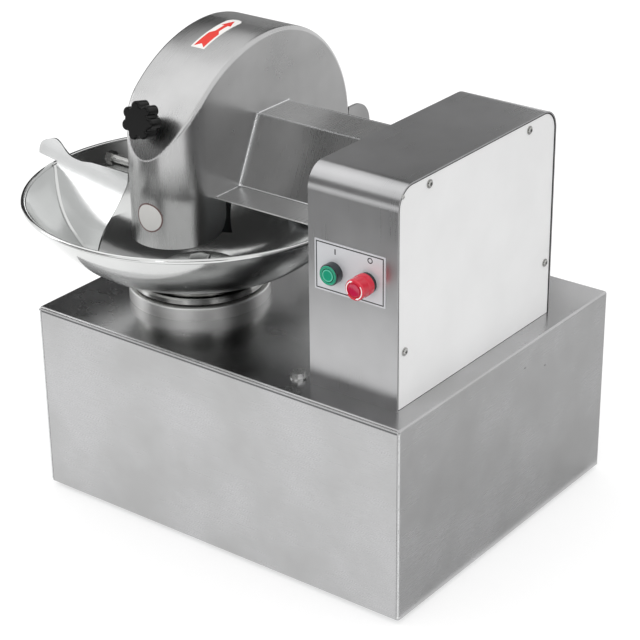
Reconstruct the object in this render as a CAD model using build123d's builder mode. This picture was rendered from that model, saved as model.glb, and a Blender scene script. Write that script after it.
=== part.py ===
"""Countertop meat bowl cutter: belt-driven knives under a hinged hood, over a slowly turning bowl.

Frame: millimetres, +Z up, the operator stands at -Y, the drive tower is at +X.
The origin is on the floor, under the middle of the whole machine.
"""
import os
from math import atan2, cos, radians, sin, sqrt

from build123d import *

os.makedirs("parts", exist_ok=True)

# --- driving dimensions -------------------------------------------------------------------
SHEET = 2.0                     # stainless sheet of every folded cover
RUN = 0.05                      # radial clearance of every running fit

BASE_X, BASE_Y = 66.0, 27.0     # middle of the base housing
BASE_W, BASE_D = 650.0, 537.0
BASE_TOP = 302.0
FOOT_H = 8.0

BOWL_X, BOWL_Y = BASE_X - 167.0, -60.0  # axis of the bowl
BOWL_R = 255.5
RIM_Z = 465.0
BOWL_FLOOR = 338.0              # outside of the bowl's bottom
BOWL_WALL = 3.0

TOWER_X0 = BASE_X + 148.0
TOWER_X1 = TOWER_X0 + 144.0
TOWER_Y0, TOWER_Y1 = -201.0, 182.0
TOWER_TOP = 619.0
TOWER_BEND = 32.0

SHAFT_Y, SHAFT_Z = 45.0, 515.0  # knife shaft, along X
SHAFT_D = 25.0
KNIFE_R = 144.0
KNIFE_T = 3.5
KNIFE_PITCH = 18.0

HOOD_HALF = 63.0                # half the hood's thickness, and the radius of its rounded front
HOOD_FRONT_Y = -109.0           # axis of the rounded front
HOOD_CREST_Y, HOOD_CREST_Z = 50.0, 691.0
HOOD_RF, HOOD_RB = 242.0, 182.0  # roof arcs ahead of and behind the crest
HOOD_SKIRT = 476.0              # lower edge of the drum, just above the bowl's rim
TONGUE_Z, TONGUE_Y = 414.0, -69.0  # lower and rear edge of the front tongue inside the bowl
HOOD_BEND = 6.0                 # outer radius of the bend between roof and sides
HEEL_R = 32.0                   # rounded lower rear corner of the tongue
HINGE_Y, HINGE_Z = 248.0, 484.0
PIN_D = 12.0

DUCT_TOP, DUCT_HALF_TOP, DUCT_HALF_LOW = 576.0, 36.0, 82.0
DUCT_X1 = TOWER_X0 - 2.0
LEDGE_W = 54.0

MOTOR_Y, MOTOR_Z = 45.0, 110.0
INPUT_Y, INPUT_Z = -105.0, 215.0  # input shaft of the worm gearbox
BELT_X = TOWER_X0 + 66.0         # plane of the knife belt
BELT_X2 = BELT_X + 34.0         # plane of the bowl belt
GROOVE_W, BELT_H = 13.0, 8.0


def save(builder, label):
    """Name a finished piece and write it."""
    builder.part.label = label
    export_step(builder.part, f"parts/{label}.step")


def tilted(y, z, elevation, x=BOWL_X):
    """Plane whose normal leans from -Y upwards by the elevation."""
    lean = radians(elevation)
    return Plane(origin=(x, y, z), x_dir=(1, 0, 0), z_dir=(0, -cos(lean), sin(lean)))


def along_x(x, y, z):
    """Plane at x, normal +X, with its own X along +Y."""
    return Plane(origin=(x, y, z), x_dir=(0, 1, 0), z_dir=(1, 0, 0))


# --- base housing -------------------------------------------------------------------------
BASE_MID_Z = (FOOT_H + BASE_TOP) / 2
BASE_FRONT = BASE_Y - BASE_D / 2
BASE_REAR = BASE_Y + BASE_D / 2
FRONT_W, FRONT_H = BASE_W - 7.0, BASE_TOP - FOOT_H - 5.0
REAR_W, REAR_H = 560.0, 232.0
BELT_SLOT = (60.0, 150.0)
RING_R, RING_TOP = 105.6, 322.0
HOLD_BOLTS = [(TOWER_X0 - 24, y) for y in (-196.0, -10.0, 160.0)]

with BuildPart() as base_shell:
    with BuildSketch(Plane.XY.offset(FOOT_H)):
        with Locations((BASE_X, BASE_Y)):
            RectangleRounded(BASE_W, BASE_D, 4)
    extrude(amount=BASE_TOP - FOOT_H)
    fillet(base_shell.faces().sort_by(Axis.Z)[-1].edges(), 3.5)
    with BuildSketch(Plane.XY.offset(FOOT_H)):
        with Locations((BASE_X, BASE_Y)):
            RectangleRounded(BASE_W - 2 * SHEET, BASE_D - 2 * SHEET, 2)
    extrude(amount=BASE_TOP - FOOT_H - SHEET, mode=Mode.SUBTRACT)
    with BuildSketch(Plane.XZ.offset(-BASE_FRONT)):
        with Locations((BASE_X, FOOT_H + FRONT_H / 2)):
            Rectangle(FRONT_W, FRONT_H)
    extrude(amount=5, both=True, mode=Mode.SUBTRACT)
    with BuildSketch(Plane.XZ.offset(-BASE_REAR)):
        with Locations((BASE_X, BASE_MID_Z)):
            Rectangle(REAR_W, REAR_H)
    extrude(amount=5, both=True, mode=Mode.SUBTRACT)
    with BuildSketch(Plane.XY.offset(BASE_TOP - 10)):
        with Locations((BOWL_X, BOWL_Y)):
            Circle(RING_R - 20)
        with Locations(((BELT_X + BELT_X2) / 2 - 4, SHAFT_Y)):
            Rectangle(*BELT_SLOT)
        with Locations(*HOLD_BOLTS):
            Circle(5.3)
    extrude(amount=20, mode=Mode.SUBTRACT)
save(base_shell, "base_shell")

with BuildPart() as front_panel:
    with BuildSketch(Plane.XZ.offset(-BASE_FRONT)):
        with Locations((BASE_X, FOOT_H + FRONT_H / 2 - 0.3)):
            Rectangle(FRONT_W - 1.0, FRONT_H - 0.6)
    extrude(amount=-SHEET)
save(front_panel, "front_panel")

PANEL_W, PANEL_H = REAR_W + 40, REAR_H + 30
with BuildPart() as rear_panel:
    with BuildSketch(Plane.XZ.offset(-BASE_REAR - SHEET)):
        with Locations((BASE_X, BASE_MID_Z)):
            RectangleRounded(PANEL_W, PANEL_H, 6)
        with Locations((BASE_X - 120, BASE_MID_Z)):
            with GridLocations(0, 16, 1, 9):
                SlotOverall(150, 6, mode=Mode.SUBTRACT)
        with Locations((BASE_X + 210, FOOT_H + 60)):
            Circle(8.2, mode=Mode.SUBTRACT)
    extrude(amount=SHEET)
save(rear_panel, "rear_panel")

with BuildPart() as rear_panel_screws:
    with BuildSketch(Plane.XZ.offset(-BASE_REAR - SHEET)):
        with Locations((BASE_X, BASE_MID_Z)):
            with GridLocations(PANEL_W / 2 - 10, PANEL_H - 18, 3, 2):
                Circle(4.5)
    extrude(amount=-2.6)
    chamfer(rear_panel_screws.faces().filter_by(Plane.XZ).group_by(Axis.Y)[-1].edges(), 1.0)
save(rear_panel_screws, "rear_panel_screws")

with BuildPart() as bottom_plate:
    with BuildSketch(Plane.XY.offset(FOOT_H)):
        with Locations((BASE_X, BASE_Y)):
            RectangleRounded(BASE_W - 2 * SHEET - 1, BASE_D - 2 * SHEET - 1, 2)
            with GridLocations(360, 320, 2, 2):
                SlotOverall(90, 12, mode=Mode.SUBTRACT)
    extrude(amount=3)
save(bottom_plate, "bottom_plate")

with BuildPart() as rubber_feet:
    with BuildSketch():
        with Locations((BASE_X, BASE_Y)):
            with GridLocations(BASE_W - 80, BASE_D - 80, 2, 2):
                Circle(20)
    extrude(amount=FOOT_H, taper=-6)
save(rubber_feet, "rubber_feet")

GLAND_X, GLAND_Z = BASE_X + 210, FOOT_H + 60
GLAND_END = BASE_REAR + 20
with BuildPart() as cable_gland:
    with BuildSketch(Plane.XZ.offset(-BASE_REAR + 8)):
        with Locations((GLAND_X, GLAND_Z)):
            Circle(8)
    extrude(amount=-8 - SHEET)
    with BuildSketch(Plane.XZ.offset(-BASE_REAR - SHEET)):
        with Locations((GLAND_X, GLAND_Z)):
            RegularPolygon(13, 6)
    extrude(amount=-6)
    with BuildSketch(Plane.XZ.offset(-BASE_REAR - SHEET - 6)):
        with Locations((GLAND_X, GLAND_Z)):
            Circle(11)
    extrude(amount=-(GLAND_END - BASE_REAR - SHEET - 6))
    fillet(cable_gland.edges().filter_by(GeomType.CIRCLE).group_by(Axis.Y)[-1], 3)
save(cable_gland, "cable_gland")

with BuildPart() as hold_down_bolts:
    for bolt_x, bolt_y in HOLD_BOLTS:
        with BuildSketch(Plane.XY.offset(BASE_TOP)):
            with Locations((bolt_x, bolt_y)):
                Circle(12)
        extrude(amount=2)
        with BuildSketch(Plane.XY.offset(BASE_TOP + 2)):
            with Locations((bolt_x, bolt_y)):
                RegularPolygon(8.5, 6, major_radius=False)
        extrude(amount=6.4)
        with BuildSketch(Plane.XY.offset(BASE_TOP)):
            with Locations((bolt_x, bolt_y)):
                Circle(5)
        extrude(amount=-18)
save(hold_down_bolts, "hold_down_bolts")

# --- drive in the base --------------------------------------------------------------------
MOTOR_R, MOTOR_X0, MOTOR_X1 = 72.0, BELT_X - 288.0, BELT_X - 68.0
MOTOR_FEET_Z = FOOT_H + 3
with BuildPart() as motor:
    with BuildSketch(along_x(MOTOR_X0, MOTOR_Y, MOTOR_Z)):
        Circle(MOTOR_R - 6)
        with PolarLocations(MOTOR_R - 5, 24):
            Rectangle(10, 4)
    extrude(amount=MOTOR_X1 - MOTOR_X0 - 14)
    with BuildSketch(along_x(MOTOR_X1 - 14, MOTOR_Y, MOTOR_Z)):
        Circle(MOTOR_R)
    extrude(amount=14)
    with BuildSketch(along_x(MOTOR_X0, MOTOR_Y, MOTOR_Z)):
        Circle(MOTOR_R - 2)
    extrude(amount=-30)
    with BuildSketch(along_x(MOTOR_X1 + 1, MOTOR_Y, MOTOR_Z)):
        Circle(12 + RUN)
    extrude(amount=-40, mode=Mode.SUBTRACT)
    with Locations(((MOTOR_X0 + MOTOR_X1) / 2, MOTOR_Y - 20, MOTOR_Z + MOTOR_R + 8)):
        Box(70, 60, 40)
save(motor, "motor")

with BuildPart() as motor_cradle:
    for foot_x in (MOTOR_X0 + 40, MOTOR_X1 - 60):
        with BuildSketch(along_x(foot_x, MOTOR_Y, MOTOR_FEET_Z)):
            with Locations((0, 15)):
                Rectangle(130, 30)
            with Locations((0, MOTOR_Z - MOTOR_FEET_Z)):
                Circle(MOTOR_R + 0.2, mode=Mode.SUBTRACT)
        extrude(amount=20)
save(motor_cradle, "motor_cradle")


def turned(label, x0, y, z, steps, bore=0.0):
    """A piece turned about an X axis: steps are (length, radius) from x0 on."""
    with BuildPart() as piece:
        x = x0
        for length, radius in steps:
            with BuildSketch(along_x(x, y, z)):
                Circle(radius)
            extrude(amount=length)
            x += length
        if bore:
            with BuildSketch(along_x(x0 - 1, y, z)):
                Circle(bore)
            extrude(amount=x - x0 + 2, mode=Mode.SUBTRACT)
    save(piece, label)


def pulley(label, y, z, grooves, bore):
    """A V-belt pulley: grooves are (x, radius), each as wide as its belt plus a flange."""
    with BuildPart() as piece:
        for x, radius in grooves:
            with BuildSketch(Plane.XY):
                with BuildLine():
                    Polyline(
                        (x - 12, bore), (x - 12, radius), (x - 9.5, radius), (x - 7.2, radius - 11),
                        (x + 7.2, radius - 11), (x + 9.5, radius), (x + 12, radius), (x + 12, bore),
                        close=True)
                make_face()
            revolve(axis=Axis.X)
        for (xa, ra), (xb, rb) in zip(grooves, grooves[1:]):
            with BuildSketch(along_x(xa + 12, 0, 0)):
                Circle(26)
                Circle(bore, mode=Mode.SUBTRACT)
            extrude(amount=xb - xa - 24)
    placed = piece.part.moved(Location((0, y, z)))
    placed.label = label
    export_step(placed, f"parts/{label}.step")


MOTOR_PULLEY_R, KNIFE_PULLEY_R = 50.0, 40.0
MOTOR_SMALL_R, BOWL_PULLEY_R = 36.0, 80.0
turned("motor_shaft", MOTOR_X1 - 38, MOTOR_Y, MOTOR_Z, [(BELT_X2 + 20 - MOTOR_X1 + 38, 12.0)])
pulley("motor_pulley", MOTOR_Y, MOTOR_Z, [(BELT_X, MOTOR_PULLEY_R), (BELT_X2, MOTOR_SMALL_R)], 12.02)

GEAR_HALF, GEAR_Z0, GEAR_Z1 = 62.0, 150.0, 262.0
INPUT_R, SPINDLE_R = 9.0, 15.0
with BuildPart() as gearbox:
    with BuildSketch(Plane.XY.offset(GEAR_Z0)):
        with Locations((BOWL_X, BOWL_Y)):
            RectangleRounded(2 * GEAR_HALF, 2 * GEAR_HALF, 14)
    extrude(amount=GEAR_Z1 - GEAR_Z0)
    with BuildSketch(Plane.XY.offset(GEAR_Z1)):
        with Locations((BOWL_X, BOWL_Y)):
            Circle(38)
    extrude(amount=14)
    with BuildSketch(along_x(BOWL_X, INPUT_Y, INPUT_Z)):
        Circle(24)
    extrude(amount=GEAR_HALF + 14)
    with BuildSketch(along_x(BOWL_X + GEAR_HALF - 20, INPUT_Y, INPUT_Z)):
        Circle(INPUT_R + RUN)
    extrude(amount=60, mode=Mode.SUBTRACT)
    with BuildSketch(Plane.XY.offset(GEAR_Z1 - 30)):
        with Locations((BOWL_X, BOWL_Y)):
            Circle(SPINDLE_R + RUN)
    extrude(amount=60, mode=Mode.SUBTRACT)
save(gearbox, "gearbox")

with BuildPart() as gearbox_stand:
    with BuildSketch(Plane.XY.offset(FOOT_H + 3)):
        with Locations((BOWL_X, BOWL_Y)):
            Rectangle(170, 150)
    extrude(amount=6)
    for side in (-1, 1):
        with BuildSketch(along_x(BOWL_X + side * 56 - 4, BOWL_Y, FOOT_H + 9)):
            with BuildLine():
                Polyline((-70, 0), (70, 0), (58, GEAR_Z0 - FOOT_H - 9), (-58, GEAR_Z0 - FOOT_H - 9), close=True)
            make_face()
        extrude(amount=8)
save(gearbox_stand, "gearbox_stand")

INPUT_X0 = BOWL_X + GEAR_HALF - 18
turned("gearbox_input_shaft", INPUT_X0, INPUT_Y, INPUT_Z, [(BELT_X2 + 20 - INPUT_X0, INPUT_R)])
pulley("gearbox_pulley", INPUT_Y, INPUT_Z, [(BELT_X2, BOWL_PULLEY_R)], INPUT_R + 0.02)

PILLOW_X = BELT_X - 36.0
with BuildPart() as input_shaft_bearing:
    with BuildSketch(along_x(PILLOW_X, INPUT_Y, INPUT_Z)):
        Circle(22)
        with Locations((0, (BASE_TOP - SHEET - INPUT_Z) / 2)):
            Rectangle(36, BASE_TOP - SHEET - INPUT_Z)
        with Locations((0, BASE_TOP - SHEET - INPUT_Z - 4)):
            Rectangle(76, 8)
        Circle(INPUT_R + RUN, mode=Mode.SUBTRACT)
    extrude(amount=16)
save(input_shaft_bearing, "input_shaft_bearing")


def belt(label, x, *wheels):
    """A V-belt round two pulleys, lying 1 mm clear of their grooves; wheels are (y, z, radius)."""
    with BuildPart() as piece:
        for inner, mode in ((0.0, Mode.ADD), (BELT_H, Mode.SUBTRACT)):
            with BuildSketch(along_x(x - GROOVE_W / 2, 0, 0)):
                for y, z, radius in wheels:
                    with Locations((y, z)):
                        Circle(radius + 1.0 - inner)
                make_hull()
            extrude(amount=GROOVE_W, mode=mode)
    save(piece, label)


# --- bowl and its drive -------------------------------------------------------------------
with BuildPart() as bowl_ring:
    with BuildSketch(Plane.XY.offset(BASE_TOP)):
        with Locations((BOWL_X, BOWL_Y)):
            Circle(RING_R)
            Circle(30, mode=Mode.SUBTRACT)
    extrude(amount=RING_TOP - BASE_TOP)
    fillet(bowl_ring.edges().filter_by(GeomType.CIRCLE).group_by(Axis.Z)[-1].sort_by(SortBy.LENGTH)[-1], 2.5)
save(bowl_ring, "bowl_ring")

with BuildPart() as turntable:
    with BuildSketch(Plane.XZ):
        with BuildLine():
            Polyline(
                (SPINDLE_R + 0.02, RING_TOP + 1.5), (98, RING_TOP + 1.5), (100, RING_TOP + 3.5),
                (100, 331.5), (97.5, 334), (80, 334), (80, BOWL_FLOOR), (SPINDLE_R + 0.02, BOWL_FLOOR),
                close=True)
        make_face()
    revolve(axis=Axis.Z)
turntable_at = turntable.part.moved(Location((BOWL_X, BOWL_Y, 0)))
turntable_at.label = "turntable"
export_step(turntable_at, "parts/turntable.step")

with BuildPart() as bowl_spindle:
    for z0, z1, radius in ((GEAR_Z1 - 28, BOWL_FLOOR, SPINDLE_R), (BOWL_FLOOR, 356.0, 10.0)):
        with BuildSketch(Plane.XY.offset(z0)):
            with Locations((BOWL_X, BOWL_Y)):
                Circle(radius)
        extrude(amount=z1 - z0)
save(bowl_spindle, "bowl_spindle")

BEAD_R = 3.6
OUTER_WALL = [(60.0, BOWL_FLOOR), (120.0, 353.0), (172.8, 376.8), (218.0, 416.5), (BOWL_R - 5.0, RIM_Z - 4)]


def bowl_face(thickness, reach):
    """Profile of the bowl's wall, or of the room inside it, in the XZ plane."""
    inner = [(60.0, BOWL_FLOOR + thickness), (119.0, 353.0 + thickness), (171.5, 376.8 + thickness),
             (218.0 - 2.6 * thickness / 3, 416.5 + 1.6 * thickness / 3), (BOWL_R - 5.0 - thickness, RIM_Z - 4)]
    return inner if reach else OUTER_WALL


with BuildPart() as bowl:
    with BuildSketch(Plane.XZ):
        inside = bowl_face(BOWL_WALL, True)
        with BuildLine():
            Line((10.3, BOWL_FLOOR), OUTER_WALL[0])
            ThreePointArc(*OUTER_WALL[0:3])
            ThreePointArc(*OUTER_WALL[2:5])
            Line(OUTER_WALL[4], inside[4])
            ThreePointArc(*inside[:1:-1])
            ThreePointArc(*inside[2::-1])
            Line(inside[0], (10.3, BOWL_FLOOR + BOWL_WALL))
            Line((10.3, BOWL_FLOOR + BOWL_WALL), (10.3, BOWL_FLOOR))
        make_face()
        with Locations((BOWL_R - BEAD_R, RIM_Z - BEAD_R)):
            Circle(BEAD_R)
    revolve(axis=Axis.Z)
bowl_at = bowl.part.moved(Location((BOWL_X, BOWL_Y, 0)))
bowl_at.label = "bowl"
export_step(bowl_at, "parts/bowl.step")

with BuildPart() as bowl_lock_nut:
    with BuildSketch(Plane.XY.offset(BOWL_FLOOR + BOWL_WALL)):
        with Locations((BOWL_X, BOWL_Y)):
            Circle(24)
    extrude(amount=3)
    with BuildSketch(Plane.XY.offset(BOWL_FLOOR + BOWL_WALL + 3)):
        with Locations((BOWL_X, BOWL_Y)):
            RegularPolygon(16, 6, major_radius=False)
    extrude(amount=14)
    fillet(bowl_lock_nut.edges().group_by(Axis.Z)[-1], 3)
    with BuildSketch(Plane.XY.offset(BOWL_FLOOR)):
        with Locations((BOWL_X, BOWL_Y)):
            Circle(10.02)
    extrude(amount=18.2, mode=Mode.SUBTRACT)
save(bowl_lock_nut, "bowl_lock_nut")

# --- knife shaft --------------------------------------------------------------------------
TUBE_R, TUBE_X0, FRAME_X = 38.0, BOWL_X + 66.0, TOWER_X0 + SHEET + 1.0
FRAME_T = 12.0
BEARING_R, BEARING_W = 26.0, 15.0
TUBE_X1 = FRAME_X + FRAME_T + 12
with BuildPart() as bearing_arm:
    with BuildSketch(along_x(TUBE_X0, SHAFT_Y, SHAFT_Z)):
        Circle(TUBE_R)
    extrude(amount=TUBE_X1 - TUBE_X0)
    with BuildSketch(along_x(FRAME_X + FRAME_T, SHAFT_Y, SHAFT_Z)):
        Circle(60)
    extrude(amount=12)
    with BuildSketch(along_x(TUBE_X0 - 1, SHAFT_Y, SHAFT_Z)):
        Circle(BEARING_R - 4)
    extrude(amount=TUBE_X1 - TUBE_X0 + 2, mode=Mode.SUBTRACT)
    with BuildSketch(along_x(TUBE_X0, SHAFT_Y, SHAFT_Z), along_x(TUBE_X1 - BEARING_W, SHAFT_Y, SHAFT_Z)):
        Circle(BEARING_R)
    extrude(amount=BEARING_W, mode=Mode.SUBTRACT)
save(bearing_arm, "bearing_arm")

with BuildPart() as bearing_frame:
    with BuildSketch(along_x(FRAME_X, SHAFT_Y, 0)):
        with Locations((0, (BASE_TOP + 600) / 2)):
            Rectangle(150, 600 - BASE_TOP)
        with Locations((0, SHAFT_Z)):
            Circle(TUBE_R + 0.3, mode=Mode.SUBTRACT)
    extrude(amount=FRAME_T)
    with BuildSketch(Plane.XY.offset(BASE_TOP)):
        with Locations((FRAME_X + 14, SHAFT_Y)):
            Rectangle(28, 150)
    extrude(amount=10)
save(bearing_frame, "bearing_frame")

for label, x in (("knife_bearing_front", TUBE_X0), ("knife_bearing_rear", TUBE_X1 - BEARING_W)):
    with BuildPart() as bearing:
        with BuildSketch(along_x(x, SHAFT_Y, SHAFT_Z)):
            Circle(BEARING_R)
            Circle(SHAFT_D / 2 + RUN, mode=Mode.SUBTRACT)
        extrude(amount=BEARING_W)
        with BuildSketch(along_x(x, SHAFT_Y, SHAFT_Z), along_x(x + BEARING_W - 1, SHAFT_Y, SHAFT_Z)):
            Circle(22)
            Circle(16.5, mode=Mode.SUBTRACT)
        extrude(amount=1, mode=Mode.SUBTRACT)
    save(bearing, label)

SEAT_R = 12.0
STACK = 2 * KNIFE_PITCH + KNIFE_T
STACK_X0, STACK_X1 = BOWL_X - STACK / 2, BOWL_X + STACK / 2
turned("knife_shaft", STACK_X0 - 16, SHAFT_Y, SHAFT_Z,
       [(STACK + 16, SEAT_R), (20, 24.0), (TUBE_X0 - 3 - STACK_X1 - 20, 18.0),
        (BELT_X + 18 - TUBE_X0 + 3, SHAFT_D / 2)])
pulley("knife_pulley", SHAFT_Y, SHAFT_Z, [(BELT_X, KNIFE_PULLEY_R)], SHAFT_D / 2 + 0.02)


def polar(radius, angle):
    """Point of the knife's plane at a radius and an angle in degrees."""
    return (radius * cos(radians(angle)), radius * sin(radians(angle)))


KNIFE_TURN = -166.5
for number in range(3):
    knife_x = BOWL_X + (number - 1) * KNIFE_PITCH - KNIFE_T / 2
    with BuildPart() as knife:
        with BuildSketch(Plane.XY):
            Circle(30)
            with BuildLine():
                ThreePointArc(polar(29, -70), polar(112, 2), polar(KNIFE_R, 46))
                Line(polar(KNIFE_R, 46), polar(KNIFE_R - 2, 56))
                ThreePointArc(polar(KNIFE_R - 2, 56), polar(76, 44), polar(28, 80))
                Line(polar(28, 80), polar(29, -70))
            make_face()
            Circle(SEAT_R + 0.02, mode=Mode.SUBTRACT)
        extrude(amount=KNIFE_T)
    turn = KNIFE_TURN + 120 * (number - 2)
    knife_at = along_x(knife_x, SHAFT_Y, SHAFT_Z) * (Rot(0, 0, turn) * knife.part)
    knife_at.label = f"knife_{number + 1}"
    export_step(knife_at, f"parts/knife_{number + 1}.step")

with BuildPart() as knife_spacers:
    for gap in range(2):
        x = STACK_X0 + KNIFE_T + gap * KNIFE_PITCH
        with BuildSketch(along_x(x, SHAFT_Y, SHAFT_Z)):
            Circle(24)
            Circle(SEAT_R + 0.02, mode=Mode.SUBTRACT)
        extrude(amount=KNIFE_PITCH - KNIFE_T)
save(knife_spacers, "knife_spacers")

with BuildPart() as knife_nut:
    with BuildSketch(along_x(STACK_X0, SHAFT_Y, SHAFT_Z)):
        RegularPolygon(19, 6, major_radius=False)
    extrude(amount=-22)
    with BuildSketch(along_x(STACK_X0, SHAFT_Y, SHAFT_Z)):
        Circle(SEAT_R + 0.02)
    extrude(amount=-16.5, mode=Mode.SUBTRACT)
save(knife_nut, "knife_nut")

belt("knife_belt", BELT_X, (MOTOR_Y, MOTOR_Z, MOTOR_PULLEY_R), (SHAFT_Y, SHAFT_Z, KNIFE_PULLEY_R))
belt("bowl_belt", BELT_X2, (MOTOR_Y, MOTOR_Z, MOTOR_SMALL_R), (INPUT_Y, INPUT_Z, BOWL_PULLEY_R))

# --- tower --------------------------------------------------------------------------------
TOWER_MID_Y, TOWER_D = (TOWER_Y0 + TOWER_Y1) / 2, TOWER_Y1 - TOWER_Y0
TOWER_H = TOWER_TOP - BASE_TOP
COVER_INSET = 1.2
PLATE_X, PLATE_Z, PLATE_W, PLATE_H = TOWER_X0 + 68.0, 484.5, 114.0, 72.0
START_X, STOP_X, BUTTON_Z = PLATE_X - 26.0, PLATE_X + 29.0, 478.5
BUTTON_HOLE = 11.0


with BuildPart() as tower_shell:
    with BuildSketch(along_x(TOWER_X0, 0, 0)):
        with Locations((TOWER_MID_Y, BASE_TOP + TOWER_H / 2)):
            RectangleRounded(TOWER_D, TOWER_H, TOWER_BEND)
        with Locations((TOWER_MID_Y, BASE_TOP + TOWER_BEND / 2)):
            Rectangle(TOWER_D, TOWER_BEND)
    extrude(amount=TOWER_X1 - TOWER_X0)
    with BuildSketch(along_x(TOWER_X0 + SHEET, 0, 0)):
        with Locations((TOWER_MID_Y, BASE_TOP + (TOWER_H - SHEET) / 2)):
            RectangleRounded(TOWER_D - 2 * SHEET, TOWER_H - SHEET, TOWER_BEND - SHEET)
        with Locations((TOWER_MID_Y, BASE_TOP + TOWER_BEND / 2)):
            Rectangle(TOWER_D - 2 * SHEET, TOWER_BEND)
    extrude(amount=TOWER_X1, mode=Mode.SUBTRACT)
    with BuildSketch(along_x(TOWER_X0 - 1, SHAFT_Y, SHAFT_Z)):
        Circle(TUBE_R + 1)
    extrude(amount=5, mode=Mode.SUBTRACT)
    with BuildSketch(Plane.XZ.offset(-TOWER_Y0)):
        with Locations((START_X, BUTTON_Z), (STOP_X, BUTTON_Z)):
            Circle(BUTTON_HOLE + 0.2)
    extrude(amount=5, both=True, mode=Mode.SUBTRACT)
save(tower_shell, "tower_shell")

COVER_X = TOWER_X1 - SHEET - 1.0
with BuildPart() as tower_side_cover:
    with BuildSketch(along_x(COVER_X, 0, 0)):
        gap = SHEET + COVER_INSET
        with Locations((TOWER_MID_Y, BASE_TOP + (TOWER_H - gap) / 2 + 0.6)):
            RectangleRounded(TOWER_D - 2 * gap, TOWER_H - gap, TOWER_BEND - gap)
        with Locations((TOWER_MID_Y, BASE_TOP + TOWER_BEND / 2 + 0.6)):
            Rectangle(TOWER_D - 2 * gap, TOWER_BEND)
    extrude(amount=SHEET)
save(tower_side_cover, "tower_side_cover")

SIDE_SCREWS = [(-130.4, 604.0), (111.4, 604.0), (166.0, 386.0), (-183.3, 384.5)]
with BuildPart() as side_cover_screws:
    for depth, radius in ((1.2, 6.0), (3.2, 4.4)):
        with BuildSketch(along_x(COVER_X + SHEET, 0, 0)):
            with Locations(*SIDE_SCREWS):
                Circle(radius)
        extrude(amount=depth)
    chamfer(side_cover_screws.faces().filter_by(Plane.YZ).group_by(Axis.X)[-1].edges(), 1.2)
save(side_cover_screws, "side_cover_screws")

with BuildPart() as tower_rear_screws:
    with BuildSketch(Plane.XZ.offset(-TOWER_Y1)):
        with Locations(((TOWER_X0 + TOWER_X1) / 2, 490.0)):
            with GridLocations(TOWER_X1 - TOWER_X0 - 16, 190, 2, 2):
                Circle(4.0)
    extrude(amount=-2.6)
    chamfer(tower_rear_screws.faces().filter_by(Plane.XZ).group_by(Axis.Y)[-1].edges(), 1.0)
save(tower_rear_screws, "tower_rear_screws")

# --- controls -----------------------------------------------------------------------------
PLATE_T = 1.0
PLATE_FACE = TOWER_Y0 - PLATE_T
with BuildPart() as control_plate:
    with BuildSketch(Plane.XZ.offset(-TOWER_Y0)):
        with Locations((PLATE_X, PLATE_Z)):
            Rectangle(PLATE_W, PLATE_H)
        with Locations((START_X, BUTTON_Z), (STOP_X, BUTTON_Z)):
            Circle(BUTTON_HOLE + 0.2, mode=Mode.SUBTRACT)
    extrude(amount=PLATE_T)
save(control_plate, "control_plate")


def front_round(label, x, steps, bore=0.0, edge=0.0):
    """A round piece standing forward from the control plate: steps are (from, to, radius)."""
    with BuildPart() as piece:
        for start, end, radius in steps:
            with BuildSketch(Plane.XZ.offset(-PLATE_FACE + start)):
                with Locations((x, BUTTON_Z)):
                    Circle(radius)
                    if bore:
                        Circle(bore, mode=Mode.SUBTRACT)
            extrude(amount=end - start)
        if edge:
            fillet(piece.edges().filter_by(GeomType.CIRCLE).sort_by(Axis.Y)[0], edge)
    save(piece, label)


front_round("start_button_bezel", START_X, [(-26, 0, 11.0), (0, 12, 15.0)], 9.6, 2.0)
front_round("start_button", START_X, [(-22, 13.5, 9.0)], 0.0, 1.0)
front_round("start_contact_block", START_X, [(-58, -30, 14.0)])
front_round("stop_button_bezel", STOP_X, [(-26, 0, 11.0), (0, 8, 14.5)], 9.6, 1.5)
front_round("stop_button_stem", STOP_X, [(-20, 15, 9.0)])
front_round("stop_contact_block", STOP_X, [(-58, -30, 14.0)])

with BuildPart() as stop_button_head:
    with BuildSketch(Plane.XZ.offset(-PLATE_FACE + 15)):
        with Locations((STOP_X, BUTTON_Z)):
            Circle(15.0)
    extrude(amount=15)
    fillet(stop_button_head.edges().filter_by(GeomType.CIRCLE).sort_by(Axis.Y)[0], 2.5)
    with BuildSketch(Plane.XZ.offset(-PLATE_FACE + 30)):
        with Locations((STOP_X, BUTTON_Z)):
            Circle(10.5)
            Circle(9.0, mode=Mode.SUBTRACT)
    extrude(amount=-1.2, mode=Mode.SUBTRACT)
save(stop_button_head, "stop_button_head")

# --- hood ---------------------------------------------------------------------------------
KNOB_LEAN = 12.0
KNOB_Y, KNOB_Z = -170.8, 604.7   # middle of the knob
PLOUGH_PIN_Y, PLOUGH_PIN_Z = -88.0, 493.0
LUG_R, LUG_T = 36.0, 4.0         # hinge cheeks, flush with the hood's sides


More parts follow.
